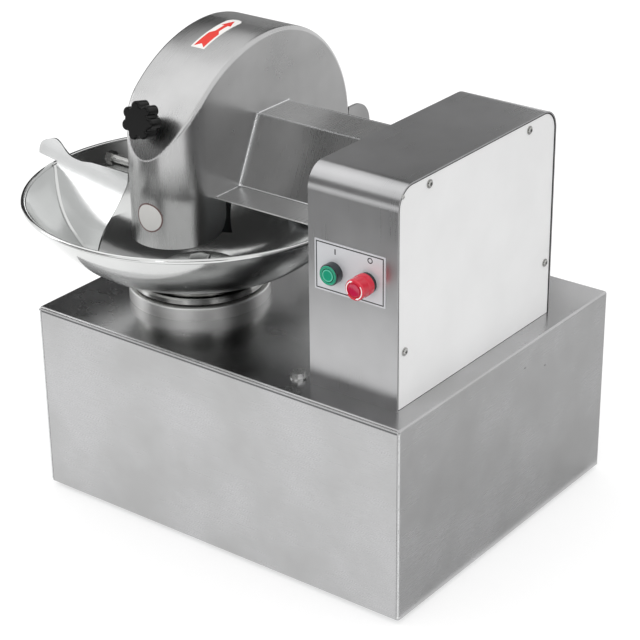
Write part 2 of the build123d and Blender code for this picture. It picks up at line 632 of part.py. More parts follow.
def hood_volume(inset):
    """The hood's body grown inwards by inset and open below: outer form at 0, cavity at SHEET."""
    drop = 20.0 if inset else 0.0
    rear = HOOD_CREST_Y + HOOD_RB - inset
    with BuildPart() as volume:
        with BuildSketch(Plane.XY.offset(TONGUE_Z - drop)):
            with Locations((BOWL_X, HOOD_FRONT_Y)):
                Circle(HOOD_HALF - inset)
            with Locations((BOWL_X, (HOOD_FRONT_Y + rear) / 2)):
                Rectangle(2 * (HOOD_HALF - inset), rear - HOOD_FRONT_Y)
        extrude(amount=HOOD_CREST_Z - TONGUE_Z + drop)
        with BuildSketch(along_x(BOWL_X - 2 * HOOD_HALF, 0, 0)):
            front = HOOD_RF - inset
            back = HOOD_RB - inset
            low, high = TONGUE_Z - drop, HOOD_SKIRT - drop
            heel = TONGUE_Y + drop
            arc_z = HOOD_CREST_Z - HOOD_RF
            back_z = HOOD_CREST_Z - HOOD_RB
            diagonal = sqrt(0.5)
            with BuildLine():
                ThreePointArc(
                    (HOOD_CREST_Y - front, arc_z),
                    (HOOD_CREST_Y - front * diagonal, arc_z + front * diagonal),
                    (HOOD_CREST_Y, arc_z + front))
                ThreePointArc(
                    (HOOD_CREST_Y, back_z + back),
                    (HOOD_CREST_Y + back * diagonal, back_z + back * diagonal),
                    (HOOD_CREST_Y + back, back_z))
                Polyline(
                    (HOOD_CREST_Y + back, back_z), (HOOD_CREST_Y + back, high), (heel, high),
                    (heel, low), (HOOD_CREST_Y - front, low), (HOOD_CREST_Y - front, arc_z))
            make_face()
        extrude(amount=4 * HOOD_HALF, mode=Mode.INTERSECT)
        roof = volume.faces().filter_by(GeomType.CYLINDER).filter_by(lambda face: face.normal_at().Z > 0.1)
        bends = roof.edges().filter_by(lambda edge: abs(edge.center().X - BOWL_X) > 1 or edge.center().Y < 0)
        fillet(bends, HOOD_BEND - inset)
    return volume.part


def duct_face(inset, low):
    """Section of the shaft duct, wide at its foot, in the YZ plane."""
    slope = (DUCT_HALF_LOW - DUCT_HALF_TOP) / (DUCT_TOP - HOOD_SKIRT)
    foot = DUCT_HALF_LOW + slope * (HOOD_SKIRT - low) - inset
    top = DUCT_HALF_TOP - 0.6 * inset
    return [(-foot, low), (-top, DUCT_TOP - inset), (top, DUCT_TOP - inset), (foot, low)]


HOOD_WALL_X = BOWL_X + HOOD_HALF
HOOD_REAR_Y = HOOD_CREST_Y + HOOD_RB
with BuildPart() as hood:
    add(hood_volume(0.0))
    with BuildSketch(along_x(HOOD_WALL_X - SHEET, SHAFT_Y, 0)):
        with BuildLine():
            Polyline(*duct_face(0.0, HOOD_SKIRT), close=True)
        make_face()
    extrude(amount=DUCT_X1 - HOOD_WALL_X + SHEET)
    for side in (-1, 1):
        ledge_y = SHAFT_Y + side * (DUCT_HALF_LOW + LEDGE_W / 2 - 1)
        with BuildSketch(Plane.XY.offset(HOOD_SKIRT)):
            with Locations(((HOOD_WALL_X + DUCT_X1) / 2 - 1, ledge_y)):
                Rectangle(DUCT_X1 - HOOD_WALL_X + 2, LEDGE_W + 2)
        extrude(amount=SHEET)
    add(hood_volume(SHEET), mode=Mode.SUBTRACT)
    with BuildSketch(along_x(HOOD_WALL_X - 5, SHAFT_Y, 0)):
        with BuildLine():
            Polyline(*duct_face(SHEET, HOOD_SKIRT - 8), close=True)
        make_face()
    extrude(amount=DUCT_X1 - HOOD_WALL_X + 10, mode=Mode.SUBTRACT)
    for side in (-1, 1):
        lug_x = BOWL_X + side * (HOOD_HALF - LUG_T / 2) - LUG_T / 2
        with BuildSketch(along_x(lug_x, 0, 0)):
            with Locations((HINGE_Y, HINGE_Z)):
                Circle(LUG_R)
            with BuildLine():
                Polyline(
                    (HOOD_REAR_Y - 1, HOOD_SKIRT), (HINGE_Y, HINGE_Z - LUG_R),
                    (HINGE_Y, HINGE_Z + LUG_R), (HOOD_REAR_Y - 1, HINGE_Z + LUG_R), close=True)
            make_face()
            with Locations((HINGE_Y, HINGE_Z)):
                Circle(PIN_D / 2 + RUN, mode=Mode.SUBTRACT)
            with Locations((HOOD_REAR_Y - SHEET - 10, HINGE_Z)):
                Rectangle(20, 4 * LUG_R, mode=Mode.SUBTRACT)
        extrude(amount=LUG_T)
    with BuildSketch(along_x(BOWL_X - 2 * HOOD_HALF, TONGUE_Y, TONGUE_Z)):
        with BuildLine():
            Line((0, 0), (0, HEEL_R))
            ThreePointArc((0, HEEL_R), (-HEEL_R * (1 - sqrt(0.5)), HEEL_R * (1 - sqrt(0.5))), (-HEEL_R, 0))
            Line((-HEEL_R, 0), (0, 0))
        make_face()
    extrude(amount=4 * HOOD_HALF, mode=Mode.SUBTRACT)
    with BuildSketch(tilted(KNOB_Y, KNOB_Z, KNOB_LEAN)):
        Circle(5 + RUN)
    extrude(amount=-60, mode=Mode.SUBTRACT)
    with BuildSketch(along_x(BOWL_X - HOOD_HALF - 5, PLOUGH_PIN_Y, PLOUGH_PIN_Z)):
        Circle(6.2)
    extrude(amount=12, mode=Mode.SUBTRACT)
save(hood, "hood")

POST_W, POST_Y0, POST_Y1 = 100.0, 237.0, 261.0
with BuildPart() as hinge_post:
    with BuildSketch(Plane.XY.offset(BASE_TOP)):
        with Locations((BOWL_X, (POST_Y0 + POST_Y1) / 2)):
            Rectangle(POST_W + 50, POST_Y1 - POST_Y0 + 26)
    extrude(amount=6)
    with BuildSketch(along_x(BOWL_X - POST_W / 2, 0, 0)):
        with Locations((HINGE_Y, HINGE_Z)):
            Circle(12)
        with BuildLine():
            Polyline(
                (POST_Y0, BASE_TOP), (POST_Y1, BASE_TOP), (POST_Y1, HINGE_Z - 20),
                (HINGE_Y + 10, HINGE_Z), (HINGE_Y - 10, HINGE_Z), (POST_Y0, HINGE_Z - 16), close=True)
        make_face()
        with Locations((HINGE_Y, HINGE_Z)):
            Circle(PIN_D / 2 + 0.02, mode=Mode.SUBTRACT)
    extrude(amount=POST_W)
save(hinge_post, "hinge_post")

PIN_HALF = HOOD_HALF + 4
turned("hinge_pin", BOWL_X - PIN_HALF, HINGE_Y, HINGE_Z,
       [(3, 9.0), (2 * PIN_HALF - 6, PIN_D / 2), (3, 9.0)])

with BuildPart() as hinge_post_bolts:
    with BuildSketch(Plane.XY.offset(BASE_TOP + 6)):
        with Locations((BOWL_X, (POST_Y0 + POST_Y1) / 2)):
            with GridLocations(POST_W + 24, 26, 2, 2):
                RegularPolygon(6.5, 6, major_radius=False)
    extrude(amount=5.5)
save(hinge_post_bolts, "hinge_post_bolts")

# --- lid knob -----------------------------------------------------------------------------
KNOB_R, KNOB_T, KNOB_LOBES = 28.0, 22.0, 7
with BuildPart() as star_knob:
    with BuildSketch(tilted(KNOB_Y, KNOB_Z, KNOB_LEAN).offset(-KNOB_T / 2)):
        Circle(KNOB_R - 6)
        with PolarLocations(KNOB_R - 8, KNOB_LOBES):
            Circle(8)
    extrude(amount=KNOB_T)
    fillet(star_knob.faces().sort_by(Axis.Y)[0].edges(), 3)
    with BuildSketch(tilted(KNOB_Y, KNOB_Z, KNOB_LEAN).offset(-KNOB_T / 2)):
        Circle(12)
    extrude(amount=-12)
    with BuildSketch(tilted(KNOB_Y, KNOB_Z, KNOB_LEAN).offset(-KNOB_T / 2 - 13)):
        Circle(5.02)
    extrude(amount=24, mode=Mode.SUBTRACT)
save(star_knob, "star_knob")

STUD_END = -60.0
with BuildPart() as knob_stud:
    with BuildSketch(tilted(KNOB_Y, KNOB_Z, KNOB_LEAN).offset(STUD_END)):
        Circle(5)
    extrude(amount=-STUD_END - 2)
    with BuildSketch(tilted(KNOB_Y, KNOB_Z, KNOB_LEAN).offset(STUD_END)):
        Circle(10)
    extrude(amount=4)
save(knob_stud, "knob_stud")

TAB_W, TAB_T, TAB_AT = 30.0, 5.0, STUD_END + 4.5
LOCK_X = HOOD_WALL_X - SHEET - 15.0  # clear of the rounded front as the hood swings up


def knob_point(up, out):
    """(y, z) of a point up and out from the middle of the knob, in the knob's leaning frame."""
    lean = radians(KNOB_LEAN)
    return (KNOB_Y + up * sin(lean) - out * cos(lean), KNOB_Z + up * cos(lean) + out * sin(lean))


with BuildPart() as lock_bracket:
    with BuildSketch(tilted(KNOB_Y, KNOB_Z, KNOB_LEAN).offset(TAB_AT)):
        with Locations(((LOCK_X + 5 - BOWL_X - 14) / 2, -2)):
            Rectangle(LOCK_X + 5 - BOWL_X + 14, TAB_W)
        with Locations((0, 10)):
            Rectangle(10.8, 20 + 10.8, mode=Mode.SUBTRACT)
        Circle(5.4, mode=Mode.SUBTRACT)
    extrude(amount=TAB_T)
    with BuildSketch(along_x(LOCK_X, 0, 0)):
        with Locations((SHAFT_Y, SHAFT_Z)):
            Circle(TUBE_R)
        with BuildLine():
            Polyline(
                (SHAFT_Y - 20, SHAFT_Z - 30), (SHAFT_Y + 10, SHAFT_Z + 36),
                knob_point(TAB_W / 2 - 2, TAB_AT), knob_point(TAB_W / 2 - 2, TAB_AT + TAB_T),
                knob_point(-TAB_W / 2 - 2, TAB_AT + TAB_T), knob_point(-TAB_W / 2 - 2, TAB_AT), close=True)
        make_face()
        with Locations((SHAFT_Y, SHAFT_Z)):
            Circle(24, mode=Mode.SUBTRACT)
    extrude(amount=5)
    with BuildSketch(along_x(LOCK_X + 5, SHAFT_Y, SHAFT_Z)):
        Circle(TUBE_R)
        Circle(TUBE_R - 8, mode=Mode.SUBTRACT)
    extrude(amount=TUBE_X0 - LOCK_X - 5)
save(lock_bracket, "lock_bracket")

# --- plough -------------------------------------------------------------------------------
# The plate's upper edge runs out from the hood to the rim; its section bows forward as it goes down.
EDGE_X0, EDGE_X1 = BOWL_X - 291.0, BOWL_X - 68.0
EDGE_Y0, EDGE_Y1 = -82.7, -131.0
EAR_REACH = 290.0               # of the ear beyond the rim, from the bowl's axis
EDGE_ANGLE = atan2(EDGE_Y1 - EDGE_Y0, EDGE_X1 - EDGE_X0)
PLOUGH_T = 2.2
PLOUGH_GAP = 3.5                # plate to bowl
EYE_X0, EYE_X1 = BOWL_X - 92.0, BOWL_X - 70.0
FLANGE_X0, FLANGE_Z = BOWL_X - 142.0, 484.0
PLOUGH_TOP = 498.0

with BuildPart() as bowl_room:
    with BuildSketch(Plane.XZ):
        room = bowl_face(BOWL_WALL + PLOUGH_GAP, True)
        with BuildLine():
            Line((0, room[0][1]), room[0])
            ThreePointArc(*room[0:3])
            ThreePointArc(*room[2:5])
            Polyline(room[4], (room[4][0], RIM_Z + 3), (BOWL_R + 60, RIM_Z + 3), (BOWL_R + 60, PLOUGH_TOP + 9),
                     (0, PLOUGH_TOP + 9), (0, room[0][1]))
        make_face()
    revolve(axis=Axis.Z)
room_at = bowl_room.part.moved(Location((BOWL_X, BOWL_Y, 0)))

plough_plane = Plane(
    origin=(EDGE_X0, EDGE_Y0, 0),
    x_dir=(-sin(EDGE_ANGLE), cos(EDGE_ANGLE), 0),
    z_dir=(cos(EDGE_ANGLE), sin(EDGE_ANGLE), 0))
with BuildPart() as plough_plate:
    with BuildSketch(plough_plane):
        with BuildLine():
            bow = [(0, PLOUGH_TOP + 4), (-6, 470), (-30, 428), (-46, 366)]
            back = [(across + PLOUGH_T, z) for across, z in reversed(bow)]
            Spline(*bow, tangents=[(0, -1), (0, -1)])
            Polyline(bow[-1], (bow[-1][0], 340), (back[0][0], 340), back[0])
            Spline(*back, tangents=[(0, 1), (0, 1)])
            Line(back[-1], bow[0])
        make_face()
    extrude(amount=(EDGE_X1 - EDGE_X0) / cos(EDGE_ANGLE))
    with BuildSketch(Plane.XZ):
        with BuildLine():
            ear = [(BOWL_X - x, z) for x, z in (
                (EAR_REACH, 474), (272, 492), (246, 499), (228, 490), (207, 483), (187, 483), (157, 488))]
            Spline(*ear, tangents=[(0, 1), (1, 0.2)])
            Polyline(ear[-1], (EDGE_X1 - 3, 497))
            ThreePointArc((EDGE_X1 - 3, 497), (EDGE_X1 + 1.5, 495), (EDGE_X1 + 2, 490))
            Polyline((EDGE_X1 + 2, 490), (EDGE_X1 - 44, 340), (BOWL_X - 262, 340),
                     (BOWL_X - 262, 461), (BOWL_X - 276, 461))
            ThreePointArc((BOWL_X - 276, 461), (BOWL_X - EAR_REACH + 4, 465), ear[0])
        make_face()
    extrude(amount=260, both=True, mode=Mode.INTERSECT)
    add(room_at, mode=Mode.INTERSECT)
    with BuildSketch(along_x(EYE_X0, PLOUGH_PIN_Y, PLOUGH_PIN_Z)):
        Circle(9)
    extrude(amount=EYE_X1 - EYE_X0)
    with BuildSketch(Plane.XY.offset(FLANGE_Z)):
        with BuildLine():
            slope = (EDGE_Y1 - EDGE_Y0) / (EDGE_X1 - EDGE_X0)
            corner = EDGE_Y0 + slope * (FLANGE_X0 - EDGE_X0) + 1
            inner_corner = EDGE_Y0 + slope * (EYE_X1 - EDGE_X0) + 1
            Polyline((FLANGE_X0, corner), (EYE_X1, inner_corner), (EYE_X1, PLOUGH_PIN_Y),
                     (BOWL_X - 130, PLOUGH_PIN_Y), (BOWL_X - 131, PLOUGH_PIN_Y - 13),
                     (FLANGE_X0, PLOUGH_PIN_Y - 13), close=True)
        make_face()
    extrude(amount=2)
    with BuildSketch(along_x(EYE_X0 - 60, PLOUGH_PIN_Y, PLOUGH_PIN_Z)):
        Circle(PIN_D / 2 + RUN)
    extrude(amount=200, mode=Mode.SUBTRACT)
save(plough_plate, "plough_plate")

PLOUGH_HEAD_X = BOWL_X - 133.0
with BuildPart() as plough_pin:
    with BuildSketch(along_x(PLOUGH_HEAD_X, PLOUGH_PIN_Y, PLOUGH_PIN_Z)):
        RegularPolygon(9, 6, major_radius=False)
    extrude(amount=-11)
    with BuildSketch(along_x(PLOUGH_HEAD_X, PLOUGH_PIN_Y, PLOUGH_PIN_Z)):
        Circle(PIN_D / 2)
    extrude(amount=BOWL_X - HOOD_HALF + 12 - PLOUGH_HEAD_X)
save(plough_pin, "plough_pin")

with BuildPart() as plough_pin_nuts:
    for nut_x in (BOWL_X - HOOD_HALF - 6.0, BOWL_X - HOOD_HALF + SHEET):
        with BuildSketch(along_x(nut_x, PLOUGH_PIN_Y, PLOUGH_PIN_Z)):
            RegularPolygon(9, 6, major_radius=False)
            Circle(PIN_D / 2 + 0.02, mode=Mode.SUBTRACT)
        extrude(amount=6)
save(plough_pin_nuts, "plough_pin_nuts")
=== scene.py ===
"""Countertop meat bowl cutter: finishes, welds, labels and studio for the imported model.

Metres, +Z up, the operator stands at -Y, the drive tower is at +X.
Lengths given to the piece functions are millimetres in the same frame.
"""
from math import ceil, cos, pi, radians, sin

import bmesh
import bpy
from mathutils import Matrix, Vector


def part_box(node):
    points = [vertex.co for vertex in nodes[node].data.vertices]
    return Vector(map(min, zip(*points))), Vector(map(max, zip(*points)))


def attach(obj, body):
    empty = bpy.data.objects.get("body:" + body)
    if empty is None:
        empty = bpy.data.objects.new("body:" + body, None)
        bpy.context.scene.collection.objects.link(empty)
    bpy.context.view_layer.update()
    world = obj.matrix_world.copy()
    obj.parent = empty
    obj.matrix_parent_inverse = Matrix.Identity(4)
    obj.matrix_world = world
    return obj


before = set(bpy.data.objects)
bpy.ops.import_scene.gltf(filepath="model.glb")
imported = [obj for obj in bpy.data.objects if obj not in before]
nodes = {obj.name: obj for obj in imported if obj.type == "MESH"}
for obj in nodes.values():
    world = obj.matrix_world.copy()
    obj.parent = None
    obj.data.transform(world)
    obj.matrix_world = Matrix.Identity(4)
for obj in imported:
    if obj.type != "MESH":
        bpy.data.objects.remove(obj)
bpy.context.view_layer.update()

# Camera: stands in front of the machine's right-hand side, a little above the hood.
# A long lens keeps the edges of the sheet boxes nearly parallel.
camera = bpy.data.objects.new("camera", bpy.data.cameras.new("camera"))
bpy.context.scene.collection.objects.link(camera)
bpy.context.scene.camera = camera
camera.data.lens = 114.52
camera.data.clip_end = 20
camera_place = Vector((1.7223, -2.1456, 1.5776))
heading, pitch, roll = radians(37.47), radians(25.63), radians(-0.67)
look = Vector((-sin(heading) * cos(pitch), cos(heading) * cos(pitch), -sin(pitch)))
right = Vector((cos(heading), sin(heading), 0))
up = right.cross(look)
tilted_right = right * cos(roll) + up * sin(roll)
tilted_up = up * cos(roll) - right * sin(roll)
camera_axes = Matrix((tilted_right, tilted_up, -look)).transposed().to_4x4()
camera.matrix_world = Matrix.Translation(camera_place) @ camera_axes


# Base housing: one folded sheet of stainless over the frame, with the front as a sheet of its own.
# Belt brushing runs along its length, and looks cloudy where hands and cloths have wiped it.
# The corners are welded and ground back, so they carry a thin bright line with a few beads.
def linear(hex_colour):
    """sRGB hex value to the linear colour that a shader socket takes."""
    channels = [int(hex_colour[i:i + 2], 16) / 255 for i in (1, 3, 5)]
    return [c / 12.92 if c <= 0.04045 else ((c + 0.055) / 1.055) ** 2.4 for c in channels] + [1]


def add(owner, kind, inputs=None, **settings):
    """Adds a node with its settings; an input is a value or another node's output."""
    new = owner.node_tree.nodes.new(kind)
    for name, value in settings.items():
        setattr(new, name, value)
    for name, value in (inputs or {}).items():
        if isinstance(value, bpy.types.NodeSocket):
            owner.node_tree.links.new(value, new.inputs[name])
        else:
            new.inputs[name].default_value = value
    return new


def plain_finish(name, colour, roughness, metallic=0.0, coat=0.0):
    """Moulded, turned or painted surface of one colour."""
    material = bpy.data.materials.new(name)
    material.use_nodes = True
    shader = material.node_tree.nodes["Principled BSDF"]
    shader.inputs["Base Color"].default_value = linear(colour)
    shader.inputs["Roughness"].default_value = roughness
    shader.inputs["Metallic"].default_value = metallic
    shader.inputs["Coat Weight"].default_value = coat
    return material


def per_metre(length_mm):
    """Noise scale for features of this length: repeats in a metre."""
    return 1000 / length_mm


def grained_finish(name, colour, worn, roughness, grain_mm, metallic=0.0, coat=0.0, depth=0.00003):
    """Moulded, cast or painted: a fine grain in gloss and relief, with the colour drifting to worn."""
    material = plain_finish(name, colour, roughness, metallic, coat)
    shader = material.node_tree.nodes["Principled BSDF"]
    drift_mm, gloss_change = 45, 0.15
    place = add(material, "ShaderNodeTexCoord").outputs["Object"]
    grain = add(material, "ShaderNodeTexNoise", {
        "Vector": place, "Scale": per_metre(grain_mm), "Detail": 3.0})
    drift = add(material, "ShaderNodeTexNoise", {
        "Vector": place, "Scale": per_metre(drift_mm), "Detail": 2.0})
    tone = add(material, "ShaderNodeMix", {
        0: drift.outputs["Fac"], 6: linear(colour), 7: linear(worn)}, data_type="RGBA")
    gloss = add(material, "ShaderNodeMapRange", {
        "Value": grain.outputs["Fac"], "From Min": 0.3, "From Max": 0.7,
        "To Min": roughness * (1 - gloss_change), "To Max": roughness * (1 + gloss_change)})
    bump = add(material, "ShaderNodeBump", {
        "Height": grain.outputs["Fac"], "Strength": 0.3, "Distance": depth})
    link = material.node_tree.links.new
    link(tone.outputs[2], shader.inputs["Base Color"])
    link(gloss.outputs["Result"], shader.inputs["Roughness"])
    link(bump.outputs["Normal"], shader.inputs["Normal"])
    return material


def brushed_sheet(name, colour, worn, stroke_mm, gloss=(0.24, 0.40), depth=0.00001, metallic=1.0):
    """Brushed metal: strokes are stroke_mm long along X, Y and Z, with soft clouding over them.

    The noise goes on for four finer octaves, so a 1.1 mm stroke holds lines under 0.1 mm wide.
    """
    material = plain_finish(name, colour, gloss[1], metallic)
    shader = material.node_tree.nodes["Principled BSDF"]
    cloud_mm = 130
    place = add(material, "ShaderNodeTexCoord").outputs["Object"]
    stretched = add(material, "ShaderNodeMapping", {
        "Vector": place, "Scale": [per_metre(length) for length in stroke_mm]})
    strokes = add(material, "ShaderNodeTexNoise", {
        "Vector": stretched.outputs["Vector"], "Scale": 1.0, "Detail": 4.0, "Roughness": 0.6})
    clouds = add(material, "ShaderNodeTexNoise", {
        "Vector": place, "Scale": per_metre(cloud_mm), "Detail": 3.0, "Roughness": 0.55})
    mixed = add(material, "ShaderNodeMath", {
        0: strokes.outputs["Fac"], 1: clouds.outputs["Fac"]}, operation="ADD")
    rough = add(material, "ShaderNodeMapRange", {
        "Value": mixed.outputs["Value"], "From Min": 0.7, "From Max": 1.3,
        "To Min": gloss[0], "To Max": gloss[1]})
    tint = add(material, "ShaderNodeMapRange", {
        "Value": clouds.outputs["Fac"], "From Min": 0.35, "From Max": 0.65})
    tone = add(material, "ShaderNodeMix", {
        0: tint.outputs["Result"], 6: linear(colour), 7: linear(worn)}, data_type="RGBA")
    bump = add(material, "ShaderNodeBump", {
        "Height": strokes.outputs["Fac"], "Strength": 0.15, "Distance": depth})
    link = material.node_tree.links.new
    link(rough.outputs["Result"], shader.inputs["Roughness"])
    link(tone.outputs[2], shader.inputs["Base Color"])
    link(bump.outputs["Normal"], shader.inputs["Normal"])
    return material


def dress(material, *names):
    """Gives CAD nodes a finish and smooth shading across their rounded faces."""
    for name in names:
        mesh = nodes[name].data
        mesh.materials.clear()
        mesh.materials.append(material)
        mesh.shade_smooth()
        mesh.set_sharp_from_angle(angle=radians(28))


def box_mm(node):
    """Lowest and highest corners of a CAD node, in millimetres."""
    return [[round(1000 * value, 2) for value in corner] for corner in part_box(node)]


def piece(name, shape, material, body):
    """Turns a bmesh in millimetres into a piece that rides on a body."""
    bmesh.ops.recalc_face_normals(shape, faces=shape.faces)
    bmesh.ops.scale(shape, vec=(0.001, 0.001, 0.001), verts=shape.verts)
    mesh = bpy.data.meshes.new(name)
    shape.to_mesh(mesh)
    shape.free()
    mesh.materials.append(material)
    mesh.shade_smooth()
    mesh.set_sharp_from_angle(angle=radians(35))
    new = bpy.data.objects.new(name, mesh)
    bpy.context.scene.collection.objects.link(new)
    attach(new, body)
    return new


def block(shape, place, size):
    """Adds a box of this size to the bmesh, at a place given as a matrix."""
    bmesh.ops.create_cube(shape, size=1, matrix=place @ Matrix.Diagonal((*size, 1)))


def tube(shape, path, radii, sides=10):
    """Adds a closed tube to the bmesh, along points with a radius at each."""
    rings, across = [], None
    for index, point in enumerate(path):
        ahead = (path[min(index + 1, len(path) - 1)] - path[max(index - 1, 0)]).normalized()
        across = across - ahead * across.dot(ahead) if rings else ahead.orthogonal()
        across.normalize()
        beside = ahead.cross(across)
        ring = []
        for side in range(sides):
            angle = 2 * pi * side / sides
            ring.append(shape.verts.new(point + radii[index] * (across * cos(angle) + beside * sin(angle))))
        rings.append(ring)
    for ring, after in zip(rings, rings[1:]):
        for side in range(sides):
            beyond = (side + 1) % sides
            shape.faces.new((ring[side], ring[beyond], after[beyond], after[side]))
    shape.faces.new(rings[0])
    shape.faces.new(rings[-1])


def weld(name, corners, radius, body, ripple=0.0, blob=1.0):
    """A bright bead along straight runs, rippled as it was laid, with a blob at each corner: a ground weld,
    and painted highlight where it runs along a fold.
    """
    ripple_mm, blob_mm = 2.2, 2.5
    step_mm = 0.75 if ripple else 4.0
    corners = [Vector(corner) for corner in corners]
    path, radii = [], []
    for start, end in zip(corners, corners[1:]):
        run = (end - start).length
        steps = max(2, ceil(run / step_mm))
        for step in range(1 if path else 0, steps + 1):
            along = step / steps * run
            path.append(start.lerp(end, along / run))
            swell = 1 + (blob - 1) * max(0.0, 1 - min(along, run - along) / blob_mm)
            radii.append(radius * swell * (1 + ripple * sin(2 * pi * along / ripple_mm)))
    shape = bmesh.new()
    tube(shape, path, radii)
    return piece(name, shape, weld_and_fold_highlight, body)


brushed_base = brushed_sheet("brushed stainless, base", "#B4B4B4", "#C0C0C1", (90, 90, 1.1), (0.2, 0.3))
dress(brushed_base, "base_shell", "front_panel", "rear_panel")
galvanised = brushed_sheet("galvanised steel sheet", "#8B8E90", "#A0A3A5", (9, 9, 9), (0.4, 0.55))
dress(galvanised, "bottom_plate", "gearbox_stand", "motor_cradle", "bearing_frame")
foot_rubber = grained_finish("moulded foot rubber", "#1B1B1C", "#262627", 0.75, 1.2)
dress(foot_rubber, "rubber_feet")
black_moulding = grained_finish("black moulded nylon", "#1C1D1F", "#232427", 0.42, 0.8)
dress(black_moulding, "cable_gland")
# Lighter and glossier than the sheet: the ground metal of the welds, and painted highlight where these beads
# run along folds.
weld_and_fold_highlight = brushed_sheet("ground stainless weld and painted fold highlight", "#D6D7D8", "#E2E3E3", (2.5, 2.5, 2.5),
                            (0.14, 0.26), 0.00004)
# Dark grey: painted shadow for the front sheet's seam, and the colour of the spot welds.
seam_shadow_and_spot_welds = grained_finish("painted seam shadow and spot welds", "#6C6D6E", "#7C7D7E", 0.5, 2.0, 0.8)

(base_left, base_front, _), (base_right, _, deck_z) = box_mm("base_shell")
# The dark strip at the top of the front sheet is painted shadow, standing in for the shade in the seam
# between the sheets.
seam_place = Matrix.Translation(((base_left + base_right) / 2, base_front, deck_z - 6.4))
seam = bmesh.new()
block(seam, seam_place, (base_right - base_left - 9, 0.5, 2.6))
bmesh.ops.bevel(seam, geom=seam.edges, offset=0.2, segments=2, affect="EDGES")
piece("front_sheet_seam", seam, seam_shadow_and_spot_welds, "machine_base")
bead = 1.3
for side, bead_x in (("left", base_left + bead), ("right", base_right - bead)):
    weld(f"corner_weld_front_{side}", [(bead_x, base_front + bead, z) for z in (12, deck_z - 4.5)],
         bead, "machine_base", 0.16, 1.9)
for mark_y, mark_z in ((66.6, 267.6), (121.7, 249.7)):
    mark = bmesh.new()
    mark_place = Matrix.Translation((base_right, mark_y, mark_z)) @ Matrix.Diagonal((0.25, 1, 0.8, 1))
    bmesh.ops.create_uvsphere(mark, u_segments=16, v_segments=8, radius=1.5, matrix=mark_place)
    piece(f"spot_weld_{int(mark_y)}", mark, seam_shadow_and_spot_welds, "machine_base")


# Drive tower: a cover wrapped from brushed stainless, its strokes upright, round one flat side sheet.
# The side sheet has a lighter satin face, a dark gasket round it and four pan-head screws.
# A small rivet closes the wrap beside its rounded top edge.
def turned_piece(name, middle, outward, profile, material, body, steps=72):
    """A round piece: the profile's (radius, height) points turned about the outward axis at middle."""
    shape = bmesh.new()
    outward = Vector(outward).normalized()
    across = outward.orthogonal().normalized()
    beside = outward.cross(across)
    rings = []
    for step in range(steps):
        angle = 2 * pi * step / steps
        spoke = across * cos(angle) + beside * sin(angle)
        rings.append([shape.verts.new(Vector(middle) + spoke * radius + outward * height)
                      for radius, height in profile])
    for ring, after in zip(rings, rings[1:] + rings[:1]):
        for k in range(len(profile)):
            shape.faces.new((ring[k], ring[k - 1], after[k - 1], after[k]))
    bmesh.ops.remove_doubles(shape, verts=shape.verts, dist=0.0005)
    return piece(name, shape, material, body)


brushed_tower = brushed_sheet("brushed stainless, tower", "#B9B9BA", "#C5C5C6", (1.1, 90, 90),
                              (0.27, 0.31), 0.000006)
dress(brushed_tower, "tower_shell")
satin_cover = brushed_sheet("satin side sheet", "#F1F1F1", "#F6F6F6", (3, 60, 3), (0.42, 0.55), metallic=0.12)
dress(satin_cover, "tower_side_cover")
zinc = brushed_sheet("bright zinc plating", "#B2B2B0", "#BEBEBC", (3, 3, 3), (0.14, 0.22), 0.000004)
dress(zinc, "side_cover_screws", "tower_rear_screws", "rear_panel_screws", "plough_pin", "plough_pin_nuts",
      "knob_stud")
bright_bolt = brushed_sheet("bright zinc bolt", "#D6D6D5", "#DCDCDB", (3, 3, 3), (0.26, 0.29), 0.000002)
dress(bright_bolt, "hold_down_bolts", "hinge_post_bolts")
recess_shade = plain_finish("shaded screw recess", "#2A2A2B", 0.6, 0.5)

cover_face = box_mm("tower_side_cover")[1][0]
screw_face = box_mm("side_cover_screws")[1][0]
screw_places = ((-130.4, 604.0), (111.4, 604.0), (166.0, 386.0), (-183.3, 384.5))
slot_long, slot_wide, slot_proud = 4.6, 1.1, 0.16
for number, (screw_y, screw_z) in enumerate(screw_places, 1):
    cross = bmesh.new()
    place = Matrix.Translation((screw_face, screw_y, screw_z)) @ Matrix.Rotation(radians(20 * number), 4, "X")
    for slot_size in ((slot_proud, slot_long, slot_wide), (slot_proud, slot_wide, slot_long)):
        block(cross, place, slot_size)
    piece(f"screw_recess_{number}", cross, recess_shade, "machine_base")

(_, wrap_front, _), (wrap_side, wrap_back, wrap_top) = box_mm("tower_shell")
wrap_bend, gasket_inset, gasket_radius = 32.0, 2.8, 1.0
gasket_x, gasket_foot, gasket_bend = cover_face + 0.15, deck_z + 1.5, wrap_bend - gasket_inset
gasket_path = [Vector((gasket_x, wrap_front + gasket_inset, gasket_foot))]
for bend_y, first_angle in ((wrap_front + wrap_bend, 180), (wrap_back - wrap_bend, 90)):
    for turned in range(0, 91, 6):
        angle = radians(first_angle - turned)
        gasket_path.append(Vector((gasket_x, bend_y + gasket_bend * cos(angle),
                                   wrap_top - wrap_bend + gasket_bend * sin(angle))))
gasket_path.append(Vector((gasket_x, wrap_back - gasket_inset, gasket_foot)))
gasket = bmesh.new()
tube(gasket, gasket_path, [gasket_radius] * len(gasket_path))
piece("side_cover_gasket", gasket, foot_rubber, "machine_base")
rivet_profile = [(0, -0.3), (3.2, -0.3), (3.2, 0.1), (2.9, 0.7), (2.0, 1.2), (0, 1.4)]
turned_piece("wrap_rivet", (wrap_side, -190.5, 605.5), (1, 0, 0), rivet_profile, zinc,
             "machine_base", 32)


# Control plate and push buttons: a thin satin aluminium plate with a printed border, a green pusher
# and a red twist-release head. The buttons are glossy moulded panel units with dark bezels.
# Generic I and O signs mark them.
def middle_mm(node):
    """Middle of a CAD node's box, in millimetres."""
    low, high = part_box(node)
    return [round(500 * (least + most), 1) for least, most in zip(low, high)]


